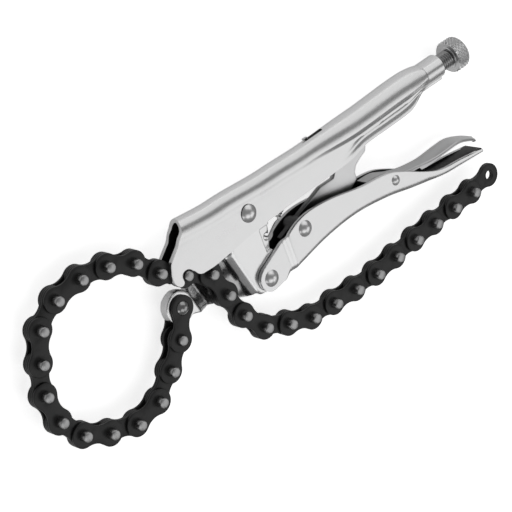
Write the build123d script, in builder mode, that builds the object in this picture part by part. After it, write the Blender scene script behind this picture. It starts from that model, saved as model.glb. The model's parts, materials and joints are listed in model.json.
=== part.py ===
import os
from math import atan2, cos, pi, radians, sin, sqrt

from build123d import *

# A locking chain clamp, lying on its side. It is laid out about the main rivet:
# X runs along the adjusting screw to the knob, Y from the lower to the upper handle,
# and Z across the tool. All lengths are millimetres, and at the end every piece is moved
# so that the origin is the middle of the underside of the whole tool.

# Chain
PITCH = 15.875
EYE_RADIUS = 6.55
WAIST_WIDTH = 8.9
PLATE_THICKNESS = 1.4
PIN_RADIUS = 2.54
PIN_LENGTH = 13.5
PIN_BEVEL = 0.5
SIDE_PLAY = 0.1
RUNNING_PLAY = 0.06

# Headings of the links, in degrees from X, from the jaw round the loop to the hook
LOOP_HEADINGS = (-117, -132, -140, -169, 163, 150, 122, 97, 74, 66, 33, 8, -9, -25, -48, -34)
# and from the hook to the free end
TAIL_HEADINGS = (-29, -72, -72, -54, -25, -20, -3, -4, 0, 5, 5, 4, 3, 3, 6)

# Sheet and channel widths
SHEET = 2.2
EDGE_ROUND = 0.55
CHANNEL_WIDTH = 11.4
REAR_WIDTH = 15.0
SIDE_GAP = 0.3
OVERRUN = 30.0

# Upper handle
HANDLE_LENGTH = 185.5
HANDLE_HEIGHT = 26.0
NOSE_OVERHANG = 8.87
NOSE_ROUND = 0.7
NOTCH_RADIUS = 3.3
HOOK_DEPTH = 2.9
HOOK_LEAN = 1.1
NECK_RADIUS = 6.6
NECK_LENGTH = 19.9
SEAM_WIDTH = 1.2
FLANGE_THICKNESS = 2.2
FLANGE_DEPTH = 0.6
FLANGE_SETBACK = 0.4
FLANGE_ROUND = 0.9
SLOT_X = 56.0
SLOT_LENGTH = 12.0
SLOT_WIDTH = 3.0

# Adjusting screw and knob
SCREW_HEIGHT = 6.5
THREAD_RADIUS = 4.8
THREAD_DEPTH = 0.75
THREAD_PITCH = 1.5
THREAD_LENGTH = 36.6
SCREW_TIP_X = 90.0
THREAD_SHOWN = 24.6
KNOB_RADIUS = 9.1
KNOB_LENGTH = 8.4
KNOB_BEVEL = 0.8
KNOB_HUB_RADIUS = 6.2
KNOB_HUB_LENGTH = 0.3

# Lower jaw
ANCHOR_X = -54.0
ANCHOR_Y = -22.9
JAW_THICKNESS = 6.4
NOSE_THICKNESS = 5.6
NOSE_RADIUS = 8.6
JAW_BOSS_RADIUS = 9.0
JAW_HEEL_RADIUS = 6.6
BRIDGE_THICKNESS = 3.2
BRIDGE_CLEARANCE = 0.4
BRIDGE_SLOPE = 3.8
BRIDGE_KNUCKLE = 3.4
BRIDGE_KNUCKLE_DROP = 2.8
JAW_ROUND = 1.1
BEND_ANGLE = 14.5
TAB_THICKNESS = 2.4
TAB_X = 8.1
TAB_Y = -18.8
TAB_FRONT = 4.05
TAB_LENGTH = 12.6
TAB_HEIGHT = 13.0
TAB_HOLE_RADIUS = 1.7

# Pivots of the linkage, from the main rivet
HEEL_X = -0.4
HEEL_Y = -37.6
KNEE_X = 27.6
KNEE_Y = -24.3
THRUST_X = 84.0
THRUST_Y = 3.2
TRIGGER_X = 92.0
TRIGGER_Y = -32.0

# Lower handle
GRIP_LENGTH = 155.5
GRIP_DROP = 49.5
EAR_RADIUS = 7.0
JOGGLE_X = 12.5
JOGGLE_LENGTH = 4.0

# Toggle link
LINK_THICKNESS = 3.2
LINK_NOSE_RADIUS = 4.2
LINK_ROUND = 1.05
KNEE_HUB_RADIUS = 5.4

# Release lever
LEVER_SHEET = 1.8
LEVER_WIDTH = 9.8
LEVER_FLARE = 12.4
LEVER_LENGTH = 80.0
LEVER_RISE = 15.5
LEVER_FRONT = 16.0
LEVER_EAR_REACH = 20.0
LEVER_EAR_RADIUS = 4.4

# Rivets: radius of the shank, radius and height of the domed head
MAIN_RIVET = (3.2, 4.7, 2.3)
HEEL_RIVET = (3.0, 4.4, 2.2)
KNEE_RIVET = (3.0, 4.3, 2.2)
TRIGGER_RIVET = (1.8, 2.8, 1.5)
ANCHOR_RIVET = (2.7, 3.7, 2.0)

# Return spring
WIRE = 1.0
COIL_RADIUS = 2.3
COIL_PITCH = 1.5
COIL_QUARTERS = 79
COIL_START = 11.3
SPRING_AIM_SHARE = -0.0235
CROWN_SHARE = 0.0025

HALF_CHANNEL = CHANNEL_WIDTH / 2
HALF_REAR = REAR_WIDTH / 2
HALF_GAP = HALF_CHANNEL - SHEET


def placed(shares, length, height, x=0.0, y=0.0):
    # Points given as shares of a length and a height, from the corner at x, y
    return [(x + across * length, y + up * height) for across, up in shares]


def walk(x, y, headings):
    # The pins of a run of links from a first pin, each one pitch from the last
    pins = [(x, y)]
    for heading in headings:
        x += PITCH * cos(radians(heading))
        y += PITCH * sin(radians(heading))
        pins.append((x, y))
    return pins


PINS = walk(ANCHOR_X, ANCHOR_Y, LOOP_HEADINGS + TAIL_HEADINGS)
HOOK_PIN = len(LOOP_HEADINGS)
HOOK_X, HOOK_Y = PINS[HOOK_PIN]
LINKS = len(PINS) - 1
NOSE_REACH = NOSE_OVERHANG - HOOK_X
SHELL_END = HANDLE_LENGTH - NOSE_REACH
THREAD_END = SHELL_END + THREAD_SHOWN

pieces = {}


def keep(name, solid):
    # One named node, which may hold several solids of one kind
    solid.label = name
    pieces[name] = solid


# Upper handle: a channel folded from one sheet, closed round the screw at the rear
# Stations along it: place, half width of crown, of waist and of lip, rise of the crown
STATION_SHARES = (
    (0.000, 1.00, 0.98, 1.00, 0.206),
    (0.210, 1.00, 0.98, 1.00, 0.090),
    (0.399, 1.00, 0.98, 1.00, 0.021),
    (0.534, 1.02, 0.99, 1.02, -0.002),
    (0.722, 1.27, 1.13, 1.23, 0.021),
    (0.927, 1.30, 1.16, 1.27, 0.065),
    (1.000, 1.16, 1.13, 1.10, 0.030),
)
# The crown rises from the level that just clears the screw
CROWN_BASE = SCREW_HEIGHT + THREAD_RADIUS + RUNNING_PLAY + SHEET
WAIST_SHARE = 0.0
LIP_SHARE = -0.60
# The side of the channel, from the front of the crown down round the hook and back
NOSE_SHARES = (
    (0.089, 0.80),
    (0.078, 0.50),
    (0.051, 0.27),
    (0.011, 0.04),
    (0.000, -0.19),
)
# The rim behind the notch, from the hooked pin, and then along the handle
NOTCH_SHARES = (
    (1.36, 0.21),
    (2.32, -1.05),
    (5.18, -1.17),
)
RIM_SHARES = (
    (0.291, -0.404),
    (0.658, -0.319),
    (0.733, -0.215),
    (0.921, -0.175),
    (0.960, -0.080),
    (1.000, 0.020),
)


def station_outline(crown, waist, lip, top):
    # Half the section of the folded sheet, one side of its outline
    middle = top - crown
    return [(crown, middle), (waist, WAIST_SHARE * HANDLE_HEIGHT), (lip, LIP_SHARE * HANDLE_HEIGHT)]


def mirrored(points):
    return [(-x, y) for x, y in reversed(points)]


with BuildPart() as upper_handle:
    for along, crown, waist, lip, rise in STATION_SHARES:
        x = -NOSE_REACH + along * HANDLE_LENGTH
        outer = [share * HALF_CHANNEL for share in (crown, waist, lip)]
        height = CROWN_BASE + rise * HANDLE_HEIGHT
        with BuildSketch(Plane(origin=(x, 0, 0), x_dir=(0, 0, -1), z_dir=(1, 0, 0))):
            with BuildLine():
                right = station_outline(*outer, height)
                inside = [(place - SHEET, up) for place, up in right]
                left = mirrored(right)
                inner_left = mirrored(inside)
                ThreePointArc(left[-1], (0, height), right[0])
                Polyline(right)
                Line(right[-1], inside[-1])
                Polyline(inside)
                ThreePointArc(inside[0], (0, height - SHEET), inner_left[-1])
                Polyline(inner_left)
                Line(inner_left[0], left[0])
                Polyline(left)
            make_face()
    loft(ruled=True)
    tip = HOOK_X - NOTCH_RADIUS
    hook_end = HOOK_Y - HOOK_DEPTH
    with BuildSketch(Plane.XY.offset(-OVERRUN)):
        nose = placed(NOSE_SHARES, HANDLE_LENGTH, HANDLE_HEIGHT, -NOSE_REACH)
        rim = placed(NOTCH_SHARES, NOTCH_RADIUS, NOTCH_RADIUS, HOOK_X, HOOK_Y)
        rim += placed(RIM_SHARES, HANDLE_LENGTH, HANDLE_HEIGHT, -NOSE_REACH)
        with BuildLine():
            FilletPolyline(
                *nose,
                ((nose[-1][0] + tip) / 2 - HOOK_LEAN, hook_end),
                (tip, hook_end),
                *rim,
                (SHELL_END, HANDLE_HEIGHT),
                (nose[0][0], HANDLE_HEIGHT),
                radius=NOSE_ROUND,
                close=True,
            )
        make_face()
    extrude(amount=2 * OVERRUN, mode=Mode.INTERSECT)
    with BuildSketch(Plane.XY.offset(-OVERRUN)):
        with Locations((HOOK_X, HOOK_Y)):
            Circle(NOTCH_RADIUS)
        with Locations((HOOK_X, HOOK_Y - NOTCH_RADIUS)):
            Rectangle(2 * NOTCH_RADIUS, 2 * NOTCH_RADIUS)
        Circle(MAIN_RIVET[0])
    extrude(amount=2 * OVERRUN, mode=Mode.SUBTRACT)
    neck_start = SHELL_END - SHEET
    bore_start = neck_start - NECK_RADIUS
    with BuildSketch(Plane(origin=(neck_start, SCREW_HEIGHT, 0), x_dir=(0, 0, -1), z_dir=(1, 0, 0))):
        Circle(NECK_RADIUS)
    extrude(amount=NECK_LENGTH - SHEET)
    # The edges of the sheet turn down below the neck, side by side
    flange_end = neck_start + NECK_LENGTH - SHEET - FLANGE_SETBACK
    flange_half = SEAM_WIDTH / 2 + FLANGE_THICKNESS
    with BuildSketch(Plane.XY.offset(-flange_half)):
        with BuildLine():
            FilletPolyline(
                (neck_start, SCREW_HEIGHT - THREAD_RADIUS),
                (neck_start, -FLANGE_DEPTH),
                (flange_end, -FLANGE_DEPTH),
                (flange_end, SCREW_HEIGHT - THREAD_RADIUS),
                radius=FLANGE_ROUND,
                close=True,
            )
        make_face()
    extrude(amount=2 * flange_half)
    with BuildSketch(Plane(origin=(bore_start, SCREW_HEIGHT, 0), x_dir=(0, 0, -1), z_dir=(1, 0, 0))):
        Circle(THREAD_RADIUS + RUNNING_PLAY)
    extrude(amount=NECK_LENGTH + NECK_RADIUS, mode=Mode.SUBTRACT)
    with Locations((neck_start + NECK_LENGTH / 2, SCREW_HEIGHT - NECK_RADIUS - FLANGE_DEPTH / 2, 0)):
        Box(NECK_LENGTH - SHEET, NECK_RADIUS + FLANGE_DEPTH, SEAM_WIDTH, mode=Mode.SUBTRACT)
    with Locations((SLOT_X, HANDLE_HEIGHT / 2, 0)):
        Box(SLOT_LENGTH, HANDLE_HEIGHT / 2, SLOT_WIDTH, mode=Mode.SUBTRACT)
keep("upper_handle", upper_handle.part)


# Lower jaw: one forging that carries the chain at its nose, and bridges under the chain
# Its bends run across it, and `across` measures from the main rivet square to them
bend = radians(BEND_ANGLE)
BEND_PLANE = Plane(origin=(0, 0, 0), x_dir=(cos(bend), sin(bend), 0), z_dir=(sin(bend), -cos(bend), 0))
HALF_JAW = JAW_THICKNESS / 2
HALF_NOSE = NOSE_THICKNESS / 2
BRIDGE_TOP = -PIN_LENGTH / 2 - BRIDGE_CLEARANCE
BRIDGE_BOTTOM = BRIDGE_TOP - BRIDGE_THICKNESS
JAW_REACH = abs(ANCHOR_X)
JAW_DROP = abs(HEEL_Y)
BODY_SHARES = (
    (-0.33, -0.38),
    (-0.17, -0.05),
    (0.17, 0.00),
    (0.20, -0.38),
    (0.13, -0.75),
    (0.115, -1.02),
    (0.00, -1.176),
    (-0.28, -1.13),
    (-0.40, -1.07),
)
ARM_SHARES = (
    (-0.985, -0.458),
    (-0.90, -0.470),
    (-0.60, -0.440),
    (-0.26, -0.380),
    (-0.16, -1.100),
    (-0.28, -1.130),
    (-0.53, -1.010),
    (-0.89, -0.806),
    (-0.985, -0.762),
)


def across(pin):
    return pin[0] * cos(bend) + pin[1] * sin(bend)


valley = max(across(PINS[HOOK_PIN + 1]), across(PINS[HOOK_PIN + 2]))
valley_right = valley + EYE_RADIUS + PLATE_THICKNESS / 2
valley_left = min(across(PINS[HOOK_PIN + 1]), across(PINS[HOOK_PIN + 2])) - EYE_RADIUS
nose_edge = valley_left - HALF_NOSE - EYE_RADIUS
bend_end = valley_right + BRIDGE_SLOPE + BRIDGE_KNUCKLE
bridge_profile = [
    (nose_edge - JAW_REACH, HALF_NOSE),
    (nose_edge, HALF_NOSE),
    (valley_left, BRIDGE_TOP),
    (valley_right, BRIDGE_TOP),
    (valley_right + BRIDGE_SLOPE, HALF_JAW - BRIDGE_KNUCKLE_DROP),
    (bend_end, HALF_JAW),
    (valley_right + 2 * JAW_THICKNESS, HALF_JAW),
    (valley_right + 2 * JAW_THICKNESS, -HALF_JAW),
    (valley_right + BRIDGE_SLOPE + BRIDGE_KNUCKLE / 2, -HALF_JAW),
    (valley_right + BRIDGE_THICKNESS, BRIDGE_BOTTOM),
    (valley_left - BRIDGE_THICKNESS / 2, BRIDGE_BOTTOM),
    (nose_edge - PLATE_THICKNESS / 2, -HALF_NOSE),
    (nose_edge - JAW_REACH, -HALF_NOSE),
]

with BuildPart() as arm:
    with BuildSketch(Plane.XY.offset(-OVERRUN)):
        with BuildLine():
            Polyline(placed(ARM_SHARES, JAW_REACH, JAW_DROP), close=True)
        make_face()
        with Locations((ANCHOR_X, ANCHOR_Y)):
            Circle(NOSE_RADIUS)
    extrude(amount=2 * OVERRUN)
    with BuildSketch(BEND_PLANE) as bends:
        with BuildLine():
            Polyline(*bridge_profile, close=True)
        make_face()
        fillet(bends.vertices(), BRIDGE_THICKNESS / 2)
    extrude(amount=JAW_REACH + JAW_DROP, both=True, mode=Mode.INTERSECT)

with BuildPart() as lower_jaw:
    with BuildSketch(Plane.XY.offset(-HALF_JAW)):
        with BuildLine():
            FilletPolyline(*placed(BODY_SHARES, JAW_REACH, JAW_DROP), radius=JAW_ROUND, close=True)
        make_face()
        Circle(JAW_BOSS_RADIUS)
        with Locations((HEEL_X, HEEL_Y)):
            Circle(JAW_HEEL_RADIUS)
    extrude(amount=JAW_THICKNESS)
    with BuildSketch(BEND_PLANE):
        with Locations((bend_end - JAW_REACH / 2, 0)):
            Rectangle(JAW_REACH, 2 * OVERRUN)
    extrude(amount=JAW_REACH + JAW_DROP, both=True, mode=Mode.SUBTRACT)
    add(arm.part)
    tab_middle = TAB_X - TAB_FRONT + TAB_LENGTH / 2
    tab_side = (HALF_JAW + TAB_THICKNESS / 2) / 2
    with Locations((tab_middle, TAB_Y, tab_side), (tab_middle, TAB_Y, -tab_side)):
        Box(TAB_LENGTH, TAB_HEIGHT, HALF_JAW - TAB_THICKNESS / 2, mode=Mode.SUBTRACT)
    with BuildSketch(Plane.XY.offset(-OVERRUN)):
        Circle(MAIN_RIVET[0] + RUNNING_PLAY)
        with Locations((HEEL_X, HEEL_Y)):
            Circle(HEEL_RIVET[0] + RUNNING_PLAY)
        with Locations((ANCHOR_X, ANCHOR_Y)):
            Circle(ANCHOR_RIVET[0])
        with Locations((TAB_X, TAB_Y)):
            Circle(TAB_HOLE_RADIUS)
    extrude(amount=2 * OVERRUN, mode=Mode.SUBTRACT)
keep("lower_jaw", lower_jaw.part)

# Lower handle: a channel whose ears step in to straddle the heel of the jaw
TOP_SHARES = (
    (-0.030, -0.640),
    (0.093, -0.467),
    (0.155, -0.384),
    (0.219, -0.356),
    (0.315, -0.386),
    (0.444, -0.473),
    (0.570, -0.531),
    (0.637, -0.622),
    (0.733, -0.790),
    (0.797, -0.871),
    (0.894, -0.911),
    (1.000, -0.962),
)
BOTTOM_SHARES = (
    (1.003, -0.998),
    (0.900, -0.980),
    (0.804, -0.954),
    (0.675, -0.879),
    (0.547, -0.784),
    (0.399, -0.727),
    (0.257, -0.752),
    (0.129, -0.824),
    (0.051, -0.875),
    (0.000, -0.901),
)

with BuildPart() as cavity:
    floor = [(x, y + SHEET) for x, y in placed(BOTTOM_SHARES[:-1], GRIP_LENGTH, GRIP_DROP)]
    with BuildSketch(Plane.XY.offset(-OVERRUN)):
        with BuildLine():
            Polyline(
                (2 * GRIP_LENGTH, floor[0][1]),
                *floor,
                (floor[-1][0], -2 * GRIP_DROP),
                (-GRIP_LENGTH, -2 * GRIP_DROP),
                (-GRIP_LENGTH, GRIP_DROP),
                (2 * GRIP_LENGTH, GRIP_DROP),
                close=True,
            )
        make_face()
    extrude(amount=2 * OVERRUN)
    with BuildSketch(Plane.XZ.offset(-GRIP_LENGTH)):
        with BuildLine():
            Polyline(
                (-GRIP_LENGTH, -HALF_GAP),
                (JOGGLE_X, -HALF_GAP),
                (JOGGLE_X + JOGGLE_LENGTH, SHEET - HALF_REAR),
                (2 * GRIP_LENGTH, SHEET - HALF_REAR),
                (2 * GRIP_LENGTH, HALF_REAR - SHEET),
                (JOGGLE_X + JOGGLE_LENGTH, HALF_REAR - SHEET),
                (JOGGLE_X, HALF_GAP),
                (-GRIP_LENGTH, HALF_GAP),
                close=True,
            )
        make_face()
    extrude(amount=2 * GRIP_LENGTH, mode=Mode.INTERSECT)

with BuildPart() as lower_handle:
    with BuildSketch(Plane.XY.offset(-HALF_REAR)):
        with BuildLine():
            grip = placed(TOP_SHARES + BOTTOM_SHARES, GRIP_LENGTH, GRIP_DROP)
            FilletPolyline(*grip, radius=EDGE_ROUND, close=True)
        make_face()
        with Locations((HEEL_X, HEEL_Y)):
            Circle(EAR_RADIUS)
    extrude(amount=REAR_WIDTH)
    with BuildSketch(Plane.XZ.offset(-GRIP_LENGTH)):
        with BuildLine():
            Polyline(
                (-GRIP_LENGTH, -HALF_CHANNEL),
                (JOGGLE_X, -HALF_CHANNEL),
                (JOGGLE_X + JOGGLE_LENGTH, -HALF_REAR),
                (2 * GRIP_LENGTH, -HALF_REAR),
                (2 * GRIP_LENGTH, HALF_REAR),
                (JOGGLE_X + JOGGLE_LENGTH, HALF_REAR),
                (JOGGLE_X, HALF_CHANNEL),
                (-GRIP_LENGTH, HALF_CHANNEL),
                close=True,
            )
        make_face()
    extrude(amount=2 * GRIP_LENGTH, mode=Mode.INTERSECT)
    add(cavity.part, mode=Mode.SUBTRACT)
    with BuildSketch(Plane.XY.offset(-OVERRUN)):
        with Locations((HEEL_X, HEEL_Y)):
            Circle(HEEL_RIVET[0])
        with Locations((KNEE_X, KNEE_Y)):
            Circle(KNEE_RIVET[0])
        with Locations((TRIGGER_X, TRIGGER_Y)):
            Circle(TRIGGER_RIVET[0])
    extrude(amount=2 * OVERRUN, mode=Mode.SUBTRACT)
keep("lower_handle", lower_handle.part)

# Toggle link: a flat plate from the knee in the lower handle to the tip of the screw
LINK_SHARES = (
    (-0.22, 0.02),
    (0.378, 0.412),
    (0.548, 0.406),
    (0.66, 0.69),
    (0.98, 1.12),
    (1.04, 0.95),
    (1.043, 0.69),
    (0.991, 0.497),
    (0.909, 0.435),
    (0.84, 0.36),
    (0.804, 0.253),
    (0.80, 0.107),
    (0.68, -0.04),
    (0.30, -0.17),
    (0.02, -0.21),
    (-0.20, -0.18),
)
link_length = THRUST_X - KNEE_X
link_rise = THRUST_Y - KNEE_Y
with BuildPart() as toggle_link:
    with BuildSketch(Plane.XY.offset(-LINK_THICKNESS / 2)):
        with BuildLine():
            FilletPolyline(
                *placed(LINK_SHARES, link_length, link_rise, KNEE_X, KNEE_Y),
                radius=LINK_ROUND,
                close=True,
            )
        make_face()
        with Locations((THRUST_X, THRUST_Y)):
            Circle(LINK_NOSE_RADIUS)
    extrude(amount=LINK_THICKNESS)
    hub = REAR_WIDTH - 2 * SHEET - 2 * SIDE_GAP
    with BuildSketch(Plane.XY.offset(-hub / 2)):
        with Locations((KNEE_X, KNEE_Y)):
            Circle(KNEE_HUB_RADIUS)
    extrude(amount=hub)
    with BuildSketch(Plane.XY.offset(-OVERRUN)):
        with Locations((KNEE_X, KNEE_Y)):
            Circle(KNEE_RIVET[0] + RUNNING_PLAY)
    extrude(amount=2 * OVERRUN, mode=Mode.SUBTRACT)
keep("toggle_link", toggle_link.part)

# Release lever: a pressed sheet whose front bears under the heel of the link
LEVER_SHARES = (
    (0.000, 0.46),
    (0.125, 0.40),
    (0.245, 0.14),
    (0.370, -0.05),
    (0.530, -0.16),
    (0.700, -0.14),
    (0.825, -0.16),
    (0.930, -0.36),
    (1.000, -0.58),
)
LEVER_NECK_SHARE = 0.45
LEVER_FLARE_SHARE = 0.65
LEVER_TAPER_SHARE = 0.88
LEVER_TIP_SHARE = 1.01
lever_x = TRIGGER_X - LEVER_FRONT
lever_top = placed(LEVER_SHARES, LEVER_LENGTH, LEVER_RISE, lever_x, TRIGGER_Y)
with BuildPart() as release_lever:
    with BuildSketch(Plane.XY.offset(-LEVER_WIDTH)):
        with BuildLine():
            under = [(x, y - LEVER_SHEET) for x, y in reversed(lever_top)]
            Polyline(*lever_top, *under, close=True)
        make_face()
    extrude(amount=2 * LEVER_WIDTH)
    with BuildSketch(Plane.XZ.offset(-GRIP_LENGTH)):
        with BuildLine():
            half_flare = LEVER_FLARE / 2
            plan = (
                (lever_x - LEVER_LENGTH, LEVER_WIDTH / 2),
                (lever_x + LEVER_LENGTH * LEVER_NECK_SHARE, LEVER_WIDTH / 2),
                (lever_x + LEVER_LENGTH * LEVER_FLARE_SHARE, half_flare),
                (lever_x + LEVER_LENGTH * LEVER_TAPER_SHARE, half_flare),
                (lever_x + LEVER_LENGTH * LEVER_TIP_SHARE, half_flare / 2),
            )
            FilletPolyline(
                *plan, *[(x, -z) for x, z in reversed(plan)], radius=LEVER_SHEET, close=True
            )
        make_face()
    extrude(amount=2 * GRIP_LENGTH, mode=Mode.INTERSECT)
    ear_bottom = TRIGGER_Y - LEVER_EAR_RADIUS
    ears = [point for point in lever_top if point[0] < TRIGGER_X + LEVER_EAR_REACH]
    for side in (LEVER_WIDTH / 2 - LEVER_SHEET, -LEVER_WIDTH / 2):
        with BuildSketch(Plane.XY.offset(side)):
            with BuildLine():
                Polyline(
                    *ears,
                    (TRIGGER_X + LEVER_EAR_RADIUS, ear_bottom),
                    (TRIGGER_X, ear_bottom),
                    (lever_x + LEVER_SHEET, ears[0][1] - 2 * LEVER_SHEET),
                    close=True,
                )
            make_face()
        extrude(amount=LEVER_SHEET)
    with BuildSketch(Plane.XY.offset(-OVERRUN)):
        with Locations((TRIGGER_X, TRIGGER_Y)):
            Circle(TRIGGER_RIVET[0] + RUNNING_PLAY)
    extrude(amount=2 * OVERRUN, mode=Mode.SUBTRACT)
keep("release_lever", release_lever.part)

# Adjusting screw: a threaded shank whose tip bears on the link, and its knurled knob
SCREW_PLANE = Plane(origin=(0, SCREW_HEIGHT, 0), x_dir=(1, 0, 0), z_dir=(0, 0, 1))
THREAD_CREST_SHARES = (0.4, 0.6)
root = THREAD_RADIUS - THREAD_DEPTH
with BuildPart() as adjusting_screw:
    thread_start = THREAD_END - THREAD_LENGTH
    crests = int(THREAD_LENGTH / THREAD_PITCH)
    with BuildSketch(SCREW_PLANE):
        with BuildLine():
            thread = []
            for turn in range(crests):
                x = thread_start + turn * THREAD_PITCH
                thread.append((x, root))
                thread += [(x + share * THREAD_PITCH, THREAD_RADIUS) for share in THREAD_CREST_SHARES]
            Polyline(
                (SCREW_TIP_X, 0),
                (SCREW_TIP_X, root - THREAD_DEPTH),
                (SCREW_TIP_X + THREAD_DEPTH, root),
                *thread,
                (THREAD_END, root),
                (THREAD_END, root - THREAD_DEPTH),
                (THREAD_END + KNOB_LENGTH - KNOB_BEVEL, root - THREAD_DEPTH),
                (THREAD_END + KNOB_LENGTH - KNOB_BEVEL, 0),
                close=True,
            )
        make_face()
    revolve(axis=Axis((0, SCREW_HEIGHT, 0), (1, 0, 0)))
keep("adjusting_screw", adjusting_screw.part)

with BuildPart() as adjusting_knob:
    face = THREAD_END + SIDE_PLAY
    bore = root - THREAD_DEPTH + RUNNING_PLAY
    with BuildSketch(SCREW_PLANE):
        with BuildLine():
            Polyline(
                (face, bore),
                (face, KNOB_HUB_RADIUS),
                (face + KNOB_HUB_LENGTH, KNOB_HUB_RADIUS),
                (face + KNOB_HUB_LENGTH, KNOB_RADIUS - KNOB_BEVEL),
                (face + KNOB_HUB_LENGTH + KNOB_BEVEL, KNOB_RADIUS),
                (face + KNOB_LENGTH - KNOB_BEVEL, KNOB_RADIUS),
                (face + KNOB_LENGTH, KNOB_RADIUS - KNOB_BEVEL),
                (face + KNOB_LENGTH, 0),
                (face + KNOB_LENGTH - KNOB_BEVEL, 0),
                (face + KNOB_LENGTH - KNOB_BEVEL, bore),
                close=True,
            )
        make_face()
    revolve(axis=Axis((0, SCREW_HEIGHT, 0), (1, 0, 0)))
keep("adjusting_knob", adjusting_knob.part)


# Rivets: a shank with a domed head pressed up at each end
def rivet(name, sizes, half_grip, x, y):
    shank, head, height = sizes
    ball = (head * head + height * height) / (2 * height)
    with BuildPart() as body:
        with BuildSketch(Plane.XY.offset(-half_grip)):
            with Locations((x, y)):
                Circle(shank)
        extrude(amount=2 * half_grip)
        for side in (1, -1):
            with BuildSketch(Plane(origin=(x, y, 0), x_dir=(1, 0, 0), z_dir=(0, -side, 0))):
                with BuildLine():
                    dome = half_grip + height
                    middle = dome - ball
                    turn = atan2(half_grip - middle, head)
                    half = (turn + pi / 2) / 2
                    Line((0, half_grip), (head, half_grip))
                    ThreePointArc(
                        (head, half_grip),
                        (ball * cos(half), middle + ball * sin(half)),
                        (0, dome),
                    )
                    Line((0, dome), (0, half_grip))
                make_face()
            revolve(axis=Axis((x, y, 0), (0, 0, 1)))
    keep(name, body.part)


rivet("main_rivet", MAIN_RIVET, HALF_CHANNEL, 0, 0)
rivet("heel_rivet", HEEL_RIVET, HALF_CHANNEL, HEEL_X, HEEL_Y)
rivet("knee_rivet", KNEE_RIVET, HALF_REAR, KNEE_X, KNEE_Y)
rivet("trigger_rivet", TRIGGER_RIVET, HALF_REAR, TRIGGER_X, TRIGGER_Y)

# Chain: outer links of two plates and two pins, and inner links of two plates side by side
half_pitch = PITCH / 2
waist = WAIST_WIDTH / 2
# The waist is one arc on each side, tangent to both eyes
scoop = (half_pitch**2 - (EYE_RADIUS - waist) * (EYE_RADIUS + waist)) / (2 * (EYE_RADIUS - waist))
scoop_height = scoop + waist
touch = EYE_RADIUS / (EYE_RADIUS + scoop)


def link_plane(number, z):
    x, y = PINS[number - 1]
    heading = radians((LOOP_HEADINGS + TAIL_HEADINGS)[number - 1])
    return Plane(origin=(x, y, z), x_dir=(cos(heading), sin(heading), 0), z_dir=(0, 0, 1))


def plate(number, z, first_hole, last_hole):
    with BuildPart() as body:
        with BuildSketch(link_plane(number, z)):
            with Locations((half_pitch, 0)):
                Rectangle(2 * half_pitch * (1 - touch), 2 * scoop_height * touch)
            with Locations((half_pitch, scoop_height), (half_pitch, -scoop_height)):
                Circle(scoop, mode=Mode.SUBTRACT)
            with Locations((0, 0), (PITCH, 0)):
                Circle(EYE_RADIUS)
            Circle(first_hole, mode=Mode.SUBTRACT)
            with Locations((PITCH, 0)):
                Circle(last_hole, mode=Mode.SUBTRACT)
        extrude(amount=PLATE_THICKNESS)
    return body.part


def pins(name, *numbers):
    with BuildPart() as body:
        with BuildSketch(Plane.XY.offset(-PIN_LENGTH / 2)):
            with Locations(*[PINS[number] for number in numbers]):
                Circle(PIN_RADIUS)
        extrude(amount=PIN_LENGTH)
        ends = body.faces().filter_by(Axis.Z).edges()
        chamfer(ends, PIN_BEVEL)
    keep(name, body.part)


loose = PIN_RADIUS + RUNNING_PLAY
inner_face = PLATE_THICKNESS + SIDE_PLAY
wide_face = inner_face + PLATE_THICKNESS + SIDE_PLAY
rivet("anchor_rivet", ANCHOR_RIVET, wide_face + PLATE_THICKNESS + SIDE_PLAY, ANCHOR_X, ANCHOR_Y)
for number in range(1, LINKS + 1):
    if number == 1:
        first, last, faces = ANCHOR_RIVET[0] + RUNNING_PLAY, loose, (wide_face, -wide_face - PLATE_THICKNESS)
    elif number % 2 == 0:
        first, last, faces = PIN_RADIUS, PIN_RADIUS, (inner_face, -inner_face - PLATE_THICKNESS)
        pins(f"link_pins_{number:02d}", number - 1, number)
    else:
        first, last, faces = loose, loose, (0, -PLATE_THICKNESS)
    plates = [plate(number, z, first, last) for z in faces]
    keep(f"chain_link_{number:02d}", Compound(children=plates))

# Return spring: a tension coil hooked through the tab of the jaw and over the slot in the crown
spring_start = Vector(TAB_X, TAB_Y, 0)
spring_end = Vector(SLOT_X, CROWN_BASE + SPRING_AIM_SHARE * HANDLE_HEIGHT, 0)
spring_axis = (spring_end - spring_start).normalized()
spring_side = Vector(0, 0, 1)
spring_up = spring_side.cross(spring_axis)
coil_foot = spring_start + spring_axis * COIL_START
hook_bend = COIL_RADIUS - TAB_THICKNESS / 2 - RUNNING_PLAY


def coil_point(turn):
    angle = 2 * pi * turn
    return (
        coil_foot
        + spring_axis * (COIL_PITCH * turn)
        + spring_side * (COIL_RADIUS * cos(angle))
        + spring_up * (COIL_RADIUS * sin(angle))
    )


def coil_tangent(turn):
    angle = 2 * pi * turn
    return (
        spring_axis * COIL_PITCH
        - spring_side * (2 * pi * COIL_RADIUS * sin(angle))
        + spring_up * (2 * pi * COIL_RADIUS * cos(angle))
    ).normalized()


def biarc(start, out, end, into):
    # Two arcs that leave start along out, meet, and reach end along into
    span = end - start
    both = out + into
    square = 2 * (out.dot(into) - 1)
    slope = -2 * span.dot(both)
    reach = (-slope - sqrt(slope * slope - 4 * square * span.dot(span))) / (2 * square)
    one = start + out * reach
    two = end - into * reach
    joint = (one + two) * 0.5
    TangentArc(start, joint, tangent=out)
    TangentArc(joint, end, tangent=two - one)


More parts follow.
